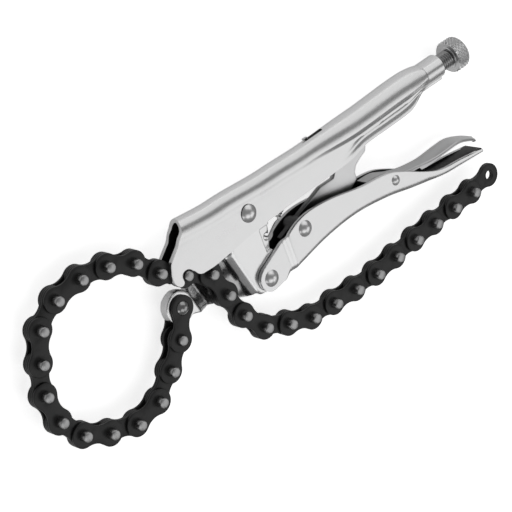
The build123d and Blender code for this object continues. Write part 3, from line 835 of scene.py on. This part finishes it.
def buildNeck():
    look = neck
    radius, half, low = look["radius"], look["flangeHalf"], look["flangeLow"]
    meet, crease = math.asin(look["seam"] / radius), look["flangeTop"]
    places = spread(look["from"], look["to"], look["columns"])
    places = sorted(places + [look["flangeEnd"] - back for back in look["flangeMarks"]])
    section = [(half, low + up) for up in look["flangeSteps"]]
    section += [(half, crease), (half + look["creaseWide"], crease + look["creaseHigh"])]
    for part in range(look["turns"] + 1):
        turn = -math.pi / 2 + meet + (2 * math.pi - 2 * meet) * part / look["turns"]
        section.append((radius * math.cos(turn), look["height"] + radius * math.sin(turn)))
    section += [(-wide, height) for wide, height in section[4::-1]]
    grid = []
    for row, (wide, height) in enumerate(section):
        line = []
        for x in places:
            past = x - look["flangeEnd"] + look["corner"]
            lift = look["corner"] - math.sqrt(max(0, look["corner"] ** 2 - past * past)) if past > 0 else 0
            line.append((x, max(height, low + min(lift, look["corner"])), wide))
        grid.append(line)
    last = len(section) - 2
    skipped = {
        (row, column)
        for row in (0, 1, 2, 3, last - 3, last - 2, last - 1, last)
        for column, x in enumerate(places[:-1])
        if x >= look["flangeEnd"] - 0.001
    }
    piece = newPiece("rolledNeck", sheetMesh("rolledNeck", grid, skipped))
    walled(piece, look["wall"])
    bevelRounded(piece, look["edge"], 40, 2)
    piece.data.materials.append(materials["satinNickel"])
    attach(piece, "upper_handle")


# turned parts are rings of points round the screw's line, from x and radius in millimetres
screwLine = pivots["knob_turn"]
turned = {
    "segments": 72,
    "tip": 90.0,
    "tipEdge": 0.75,
    "ringsPerPitch": 8,
    "threadFrom": 119.5,
    "threadTo": 156.1,
    "pitch": 1.5,
    "threadDepth": 0.75,
    "threadRadius": 4.8,
    "shank": 4.05,
    "journal": 3.3,
    "screwEnd": 163.7,
    "knobFrom": 156.2,
    "knobLength": 8.4,
    "knobRadius": 9.1,
    "hubRadius": 6.2,
    "hubLength": 0.3,
    "knobEdge": 0.8,
    "knobRings": 56,
    "knobBore": 0.06,
    "hubEdge": 0.3,
    # the end face is dished a little, between two shares of the knob's radius
    "dishFrom": 0.6,
    "dishTo": 0.55,
    "dishDepth": 0.25,
    "dishMiddle": 0.3,
    "knurlCount": 26,
    "knurlPitch": 2.2,
    "knurlDepth": 0.6,
}


# a closed skin over rings of points
def ringMesh(name, rings):
    work = bmesh.new()
    rows = [[work.verts.new(point) for point in ring] for ring in rings]
    for low, high in zip(rows, rows[1:]):
        for part in range(len(low)):
            after = (part + 1) % len(low)
            work.faces.new((low[part], low[after], high[after], high[part]))
    work.faces.new(rows[0])
    work.faces.new(list(reversed(rows[-1])))
    return closedWork(name, work)


def lathe(name, profile, segments):
    turns = [2 * math.pi * part / segments for part in range(segments)]
    rings = []
    for x, radius in profile:
        centre = Vector((mainPivot.x + x * mm, screwLine.y, screwLine.z))
        ways = (Vector((0, math.cos(turn), math.sin(turn))) for turn in turns)
        rings.append([centre + way * (radius * mm) for way in ways])
    return ringMesh(name, rings)


# a Geometry Nodes tree with named inputs, ready for its nodes
def newTree(name, numbers, vectors=()):
    tree = bpy.data.node_groups.new(name, "GeometryNodeTree")
    tree.interface.new_socket("Geometry", in_out="INPUT", socket_type="NodeSocketGeometry")
    for label in numbers:
        tree.interface.new_socket(label, in_out="INPUT", socket_type="NodeSocketFloat")
    for label in vectors:
        tree.interface.new_socket(label, in_out="INPUT", socket_type="NodeSocketVector")
    tree.interface.new_socket("Geometry", in_out="OUTPUT", socket_type="NodeSocketGeometry")
    graph = Graph(tree)
    return graph, graph.add("NodeGroupInput")


def endTree(graph, geometry, finishName):
    real = graph.add("GeometryNodeRealizeInstances", None, {0: geometry})[0]
    painted = graph.add("GeometryNodeSetMaterial", None, {0: real, "Material": materials[finishName]})[0]
    graph.add("NodeGroupOutput", None, {0: painted})
    return graph.tree


def runTree(piece, tree, values):
    modifier = piece.modifiers.new(tree.name, "NODES")
    modifier.node_group = tree
    for item in tree.interface.items_tree:
        if item.in_out == "INPUT" and item.name in values:
            modifier[item.identifier] = values[item.name]
    bpy.context.view_layer.update()
    return settled(piece)


# the turn round the screw's line, the place along it and the outward direction, for every point
def roundTheScrew(graph, given):
    point = graph.add("GeometryNodeInputPosition")["Position"]
    apart = graph.add("ShaderNodeSeparateXYZ", None, {0: point})
    up = apart["Y"] - given["Line Y"]
    side = apart["Z"] - given["Line Z"]
    turn = worked(graph, "ARCTAN2", side, up) / (2 * math.pi)
    radius = (up * up + side * side) ** 0.5
    out = joinedVector(graph, 0.0, up / radius, side / radius)
    return apart["X"], turn, radius, out


# 1 in the middle of each step and 0 at its ends
def ridge(graph, value):
    share = worked(graph, "FRACT", value)
    return 1 - abs(share - 0.5) * 2


def pushedOut(graph, given, radius, out, amount):
    least = given["Least Radius"]
    solid = graph.add("FunctionNodeCompare", {"operation": "GREATER_THAN"}, {0: radius, 1: least})
    move = graph.add("ShaderNodeVectorMath", {"operation": "SCALE"}, {0: out, "Scale": amount})["Vector"]
    return graph.add(
        "GeometryNodeSetPosition",
        None,
        {"Geometry": given["Geometry"], "Selection": solid["Result"], "Offset": move},
    )["Geometry"]


def threadTree():
    labels = ("Line Y", "Line Z", "Pitch", "Depth", "Least Radius")
    graph, given = newTree("screwThread", labels)
    along, turn, radius, out = roundTheScrew(graph, given)
    crest = ridge(graph, along / given["Pitch"] - turn)
    cut = worked(graph, "MINIMUM", crest * 1.35, 1.0)
    return endTree(graph, pushedOut(graph, given, radius, out, (cut - 1) * given["Depth"]), "screwSteel")


def knurlTree():
    labels = ("Line Y", "Line Z", "Count", "Pitch", "Depth", "Least Radius")
    graph, given = newTree("diamondKnurl", labels)
    along, turn, radius, out = roundTheScrew(graph, given)
    around = turn * given["Count"]
    step = along / given["Pitch"]
    first = ridge(graph, around + step)
    second = ridge(graph, around - step)
    low = worked(graph, "MINIMUM", first, second)
    cut = worked(graph, "MINIMUM", low * 1.6, 1.0)
    return endTree(graph, pushedOut(graph, given, radius, out, (cut - 1) * given["Depth"]), "knobSteel")


def buildScrew():
    look = turned
    tip, edge = look["tip"], look["tipEdge"]
    rings = [(tip, look["shank"] - edge), (tip + edge, look["shank"])]
    rings.append((look["threadFrom"] - 0.1, look["shank"]))
    count = round((look["threadTo"] - look["threadFrom"]) / look["pitch"] * look["ringsPerPitch"])
    rings += [(x, look["threadRadius"]) for x in spread(look["threadFrom"], look["threadTo"], count)]
    rings += [(look["threadTo"] + 0.05, look["journal"]), (look["screwEnd"], look["journal"])]
    piece = newPiece("adjustingScrew", lathe("adjustingScrew", rings, look["segments"]))
    values = {
        "Line Y": screwLine.y,
        "Line Z": screwLine.z,
        "Pitch": look["pitch"] * mm,
        "Depth": look["threadDepth"] * mm,
        "Least Radius": (look["threadRadius"] - 0.05) * mm,
    }
    runTree(piece, threadTree(), values)
    smoothShaded(piece.data, 50)
    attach(piece, "adjusting_screw")
    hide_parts("adjusting_screw")


def buildKnob():
    look = turned
    face, end = look["knobFrom"], look["knobFrom"] + look["knobLength"]
    edge, hub = look["knobEdge"], look["hubLength"]
    hubRadius, knobRadius, dished = look["hubRadius"], look["knobRadius"], end - look["dishDepth"]
    rings = [(face, look["journal"] + look["knobBore"]), (face, hubRadius - look["hubEdge"])]
    rings += [(face + look["hubEdge"], hubRadius), (face + hub, hubRadius)]
    rings += [(face + hub, knobRadius - edge)]
    rings += [(x, knobRadius) for x in spread(face + hub + edge, end - edge, look["knobRings"])]
    rings += [(end, knobRadius - edge), (end, knobRadius * look["dishFrom"])]
    rings += [(dished, knobRadius * look["dishTo"]), (dished, look["dishMiddle"])]
    piece = newPiece("adjustingKnob", lathe("adjustingKnob", rings, look["knurlCount"] * 8))
    values = {
        "Line Y": screwLine.y,
        "Line Z": screwLine.z,
        "Count": float(look["knurlCount"]),
        "Pitch": look["knurlPitch"] * mm,
        "Depth": look["knurlDepth"] * mm,
        "Least Radius": (look["knobRadius"] - 0.05) * mm,
    }
    runTree(piece, knurlTree(), values)
    smoothShaded(piece.data, 40)
    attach(piece, "adjusting_knob")
    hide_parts("adjusting_knob")


# domed heads: shank radius, head radius and height, half of what they grip
domes = {
    "main_rivet": (4.7, 2.3, 5.7, "chromeDome", "chrome_dome", "upper_handle"),
    "heel_rivet": (4.4, 2.2, 5.7, "chromeDome", "chrome_dome", "lower_handle"),
    "knee_rivet": (4.3, 2.2, 7.5, "chromeDome", "chrome_dome", "lower_handle"),
    "trigger_rivet": (2.8, 1.5, 7.5, "chromeDome", "chrome_dome", "lower_handle"),
    "anchor_rivet": (3.7, 2.0, 4.5, "darkDome", "dark_dome", "lower_jaw"),
}
domeAxes = {
    "main_rivet": "jaw_pivot",
    "heel_rivet": "handle_pivot",
    "knee_rivet": "knee_pivot",
    "trigger_rivet": "release_pivot",
    "anchor_rivet": "chain_hinge_01",
}


domeShape = {"steps": 12, "segments": 64, "middle": 0.02, "sunk": 0.02, "shankShare": 0.6, "foot": 0.3}


def buildDome(node):
    head, rise, grip, finishName, slotName, body = domes[node]
    axis = pivots[domeAxes[node]]
    ball = (head * head + rise * rise) / (2 * rise)
    span = math.asin(head / ball)
    look = domeShape
    cap = [(look["middle"], grip + rise)]
    for part in range(1, look["steps"] + 1):
        turn = span * part / look["steps"]
        cap.append((ball * math.sin(turn), grip + rise - ball + ball * math.cos(turn)))
    profile = [*cap, (head, grip - look["sunk"]), (head * look["shankShare"], grip - look["foot"])]
    profile += [(radius, -height) for radius, height in reversed(profile)]
    centre = Vector((axis.x, axis.y, mainPivot.z))
    turns = [2 * math.pi * part / look["segments"] for part in range(look["segments"])]
    rings = []
    for radius, height in profile:
        ways = (Vector((radius * math.cos(turn), radius * math.sin(turn), height)) for turn in turns)
        rings.append([centre + way * mm for way in ways])
    mesh = ringMesh(node + "Dome", rings)
    piece = newPiece(node + "Dome", mesh)
    smoothShaded(mesh, 50)
    mesh.materials.append(materials[finishName])
    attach(piece, body)
    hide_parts(node)


# chain plates, in millimetres
chain = {
    "pitch": 15.875,
    "eye": 6.55,
    "waist": 4.45,
    "thickness": 1.4,
    "play": 0.1,
    "pin": 2.54,
    "running": 0.06,
    "anchor": 2.7,
    "edge": 0.28,
    "pinLength": 13.5,
    # width of the pins' bevelled ends, which carry the painted highlight
    "pinEdgePaintedHighlight": 0.45,
    "points": 88,
    "holePoints": 28,
    "pinPoints": 40,
    "press": 0.1,
    "merge": 0.002,
}


def circle(graph, count, radius):
    values = {"Resolution": count, "Radius": radius}
    return graph.add("GeometryNodeCurvePrimitiveCircle", None, values)["Curve"]


# copies on a row of points, turned and moved to where the link lies
def laidDown(graph, given, points, copy):
    values = {"Points": points, "Instance": copy}
    placed = graph.add("GeometryNodeInstanceOnPoints", None, values)["Instances"]
    turn = joinedVector(graph, 0.0, 0.0, given["Heading"])
    values = {"Geometry": placed, "Translation": given["Start"], "Rotation": turn}
    return graph.add("GeometryNodeTransform", None, values)["Geometry"]


def plateTree():
    labels = ("Half Pitch", "Eye Radius", "Waist", "Scoop", "Thickness", "Gap")
    labels += ("First Hole", "Last Hole", "Heading")
    graph, given = newTree("chainPlates", labels, ("Start",))
    half, eye, scoop = given["Half Pitch"], given["Eye Radius"], given["Scoop"]
    ring = circle(graph, chain["points"], 1.0)
    point = graph.add("GeometryNodeInputPosition")["Position"]
    place = graph.add("ShaderNodeSeparateXYZ", None, {0: point})
    along = place["X"] * (half + eye)
    away = abs(along)
    rise = scoop + given["Waist"]
    meet = half - half * eye / (eye + scoop)
    under = worked(graph, "MAXIMUM", scoop * scoop - away * away, 0.0)
    hollow = rise - under ** 0.5
    past = away - half
    room = worked(graph, "MAXIMUM", eye * eye - past * past, 0.0)
    inWaist = worked(graph, "LESS_THAN", away, meet)
    height = hollow * inWaist + room ** 0.5 * (1 - inWaist)
    sign = worked(graph, "SIGN", place["Y"])
    spot = joinedVector(graph, along, height * sign, 0.0)
    outline = graph.add("GeometryNodeSetPosition", None, {"Geometry": ring, "Position": spot})["Geometry"]
    joint = graph.add("GeometryNodeJoinGeometry")
    graph.tree.links.new(outline.socket, joint.node.inputs[0])
    for label, sense in (("First Hole", -1), ("Last Hole", 1)):
        hole = circle(graph, chain["holePoints"], given[label])
        shift = joinedVector(graph, half * sense, 0.0, 0.0)
        values = {"Geometry": hole, "Translation": shift}
        moved = graph.add("GeometryNodeTransform", None, values)["Geometry"]
        graph.tree.links.new(moved.socket, joint.node.inputs[0])
    flat = graph.add("GeometryNodeFillCurve", None, {"Curve": joint["Geometry"]})["Mesh"]
    values = {"Mesh": flat, "Offset Scale": given["Thickness"], "Individual": False}
    thick = graph.add("GeometryNodeExtrudeMesh", None, values)["Mesh"]
    back = graph.add("GeometryNodeFlipFaces", None, {"Mesh": flat})["Mesh"]
    both = graph.add("GeometryNodeJoinGeometry")
    graph.tree.links.new(thick.socket, both.node.inputs[0])
    graph.tree.links.new(back.socket, both.node.inputs[0])
    values = {"Geometry": both["Geometry"], "Distance": chain["merge"] * mm}
    plate = graph.add("GeometryNodeMergeByDistance", None, values)["Geometry"]
    low = joinedVector(graph, half, 0.0, 0.0 - given["Gap"] - given["Thickness"])
    step = joinedVector(graph, 0.0, 0.0, given["Gap"] * 2 + given["Thickness"])
    values = {"Count": 2, "Start Location": low, "Offset": step}
    pair = graph.add("GeometryNodeMeshLine", None, values)["Mesh"]
    return endTree(graph, laidDown(graph, given, pair, plate), "blackOxide")


# the two pins of an outer link
def pinTree():
    graph, given = newTree("chainPins", ("Radius", "Length", "Pitch", "Heading"), ("Start",))
    values = {"Vertices": chain["pinPoints"], "Radius": given["Radius"], "Depth": given["Length"]}
    rod = graph.add("GeometryNodeMeshCylinder", None, values)["Mesh"]
    step = joinedVector(graph, given["Pitch"], 0.0, 0.0)
    ends = graph.add("GeometryNodeMeshLine", None, {"Count": 2, "Offset": step})["Mesh"]
    return endTree(graph, laidDown(graph, given, ends, rod), "pinSteel")


def buildPins(tree, name, start, heading):
    look = chain
    piece = newPiece("pins" + name[-2:])
    values = {
        "Radius": look["pin"] * mm,
        "Length": look["pinLength"] * mm,
        "Pitch": look["pitch"] * mm,
        "Start": (start.x, start.y, mainPivot.z),
        "Heading": heading,
    }
    runTree(piece, tree, values)
    # the pins' bevelled ends take the painted highlight
    piece.data.materials.append(materials["pinEdgePaintedHighlight"])
    bevelRounded(piece, look["pinEdgePaintedHighlight"], 50, 2, 1)
    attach(piece, name)
    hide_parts(name.replace("chain_link", "link_pins"))


def buildChain():
    look = chain
    tree = plateTree()
    pins = pinTree()
    names = sorted(name for name in nodes if name.startswith("chain_link"))
    starts = [pivots.get(name.replace("link", "hinge")) for name in names]
    starts.append(Vector(mounts["end_link_eye"]["pos_m"]))
    # the chain's loop has no joint between the eighth and ninth link, but a pin is there
    lowPin, highPin = (Vector(corner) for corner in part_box("link_pins_08"))
    starts[8] = lowPin + highPin - starts[7]
    half, waist, eye = look["pitch"] / 2, look["waist"], look["eye"]
    scoop = (half * half - (eye - waist) * (eye + waist)) / (2 * (eye - waist))
    loose = look["pin"] + look["running"]
    wide = look["thickness"] + look["play"]
    for number, name in enumerate(names, 1):
        start, after = starts[number - 1], starts[number]
        if number == 1:
            gap, firstHole, lastHole = 2 * wide, look["anchor"] + look["running"], loose
        elif number % 2 == 0:
            gap, firstHole, lastHole = wide, look["pin"] - look["press"], look["pin"] - look["press"]
        else:
            gap, firstHole, lastHole = 0.0, loose, loose
        piece = newPiece("plates" + name[-2:])
        values = {
            "Half Pitch": half * mm,
            "Eye Radius": eye * mm,
            "Waist": waist * mm,
            "Scoop": scoop * mm,
            "Thickness": look["thickness"] * mm,
            "Gap": gap * mm,
            "First Hole": firstHole * mm,
            "Last Hole": lastHole * mm,
            "Start": (start.x, start.y, mainPivot.z),
            "Heading": math.atan2(after.y - start.y, after.x - start.x),
        }
        runTree(piece, tree, values)
        # the plates' bevelled edges take the painted highlight
        piece.data.materials.append(materials["oxideEdgePaintedHighlight"])
        bevelRounded(piece, look["edge"], 45, 2, 1)
        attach(piece, name)
        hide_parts(name)
        if number % 2 == 0:
            buildPins(pins, name, start, values["Heading"])
    print("chain plates laid:", len(names), "links")


buildNeck()
buildLowerShell()
buildReleaseLever()
print("sheet handles folded")
for node in domes:
    buildDome(node)
print("rivet heads domed:", len(domes))
buildScrew()
buildKnob()
print("screw and knob turned")
buildChain()
shell = buildUpperShell()
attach(shell, "upper_handle")
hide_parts("upper_handle")
print("upper shell folded", [round(v * 1000, 1) for v in shell.dimensions])

# the return spring keeps its own solid and takes a finish
spring = nodes["return_spring"]
spring.data.materials.clear()
spring.data.materials.append(materials["springSteel"])
print("spring finished")

# the studio: a pale floor, and soft lamps round and over the tool
studio = {
    "floorSize": 6.0,
    "floorShade": 0.92,
    "floorGlow": 0.7,
    "glossyShare": 0.3,
    "worldStrength": 0.24,
    "key": {"at": (0.65, -0.60, 0.98), "size": (1.0, 0.85), "power": 2.3},
    "crest": {"at": (-0.28, -0.50, 1.00), "size": (0.8, 0.7), "power": 1.7},
    "over": {"at": (0.60, 0.86, 0.72), "size": (1.4, 0.9), "power": 3.0},
    "back": {"at": (0.80, 1.25, 0.22), "size": (1.4, 0.5), "power": 1.2},
    "side": {"at": (-1.10, -0.45, 0.50), "size": (0.5, 0.5), "power": 1},
}


def buildFloor():
    half = studio["floorSize"] / 2
    mesh = bpy.data.meshes.new("floor")
    corners = [(-half, -half, 0), (half, -half, 0), (half, half, 0), (-half, half, 0)]
    mesh.from_pydata(corners, [], [(0, 1, 2, 3)])
    floor = newPiece("floor", mesh)
    material = bpy.data.materials.new("paleFloor")
    material.use_nodes = True
    material.node_tree.nodes.clear()
    graph = Graph(material.node_tree)
    shade = studio["floorShade"]
    matte = graph.add("ShaderNodeBsdfDiffuse", None, {"Color": (shade, shade, shade, 1)})["BSDF"]
    path = graph.add("ShaderNodeLightPath")
    seen = path["Is Camera Ray"] + path["Is Glossy Ray"] * studio["glossyShare"]
    glow = graph.add("ShaderNodeEmission", None, {"Strength": seen * studio["floorGlow"]})["Emission"]
    both = graph.add("ShaderNodeAddShader", None, {0: matte, 1: glow})["Shader"]
    graph.add("ShaderNodeOutputMaterial", None, {"Surface": both})
    mesh.materials.append(material)


def buildLamp(name, target):
    look = studio[name]
    lamp = bpy.data.lights.new(name, "AREA")
    lamp.shape = "RECTANGLE"
    lamp.size, lamp.size_y = look["size"]
    lamp.energy = look["power"]
    holder = bpy.data.objects.new(name, lamp)
    bpy.context.scene.collection.objects.link(holder)
    holder.location = look["at"]
    holder.rotation_euler = (target - Vector(look["at"])).to_track_quat("-Z", "Y").to_euler()


def buildWorld():
    world = bpy.data.worlds.new("studio")
    bpy.context.scene.world = world
    world.use_nodes = True
    world.node_tree.nodes.clear()
    graph = Graph(world.node_tree)
    path = graph.add("ShaderNodeLightPath")
    seen = path["Is Camera Ray"]
    level = studio["worldStrength"]
    strength = seen * (1 - level) + level
    values = {"Color": (1, 1, 1, 1), "Strength": strength}
    back = graph.add("ShaderNodeBackground", None, values)["Background"]
    graph.add("ShaderNodeOutputWorld", None, {"Surface": back})


buildFloor()
for name in ("key", "crest", "over", "back", "side"):
    buildLamp(name, (cadBox[0] + cadBox[1]) / 2)
buildWorld()
print("studio built")

# the camera, placed from the main pivot, as it was fitted to the photograph
view = {
    "fromPivot": (-0.481243, 0.386502, 0.747001),
    "right": (0.712019, -0.310626, 0.629715),
    "up": (0.502042, 0.852210, -0.147281),
    "lens": 137.1,
    "sensor": 36.0,
    "shift": (-0.0029, 0.0014),
    "clip": (0.01, 50),
}
camera = bpy.data.objects.new("camera", bpy.data.cameras.new("camera"))
bpy.context.scene.collection.objects.link(camera)
right, up = Vector(view["right"]), Vector(view["up"])
turned = Matrix((right, up, right.cross(up))).transposed().to_4x4()
camera.matrix_world = Matrix.Translation(mainPivot + Vector(view["fromPivot"])) @ turned
camera.data.lens = view["lens"]
camera.data.shift_x, camera.data.shift_y = view["shift"]
camera.data.sensor_width = view["sensor"]
camera.data.clip_start, camera.data.clip_end = view["clip"]
bpy.context.scene.camera = camera
bpy.context.scene.view_settings.view_transform = "Standard"

bpy.context.view_layer.update()
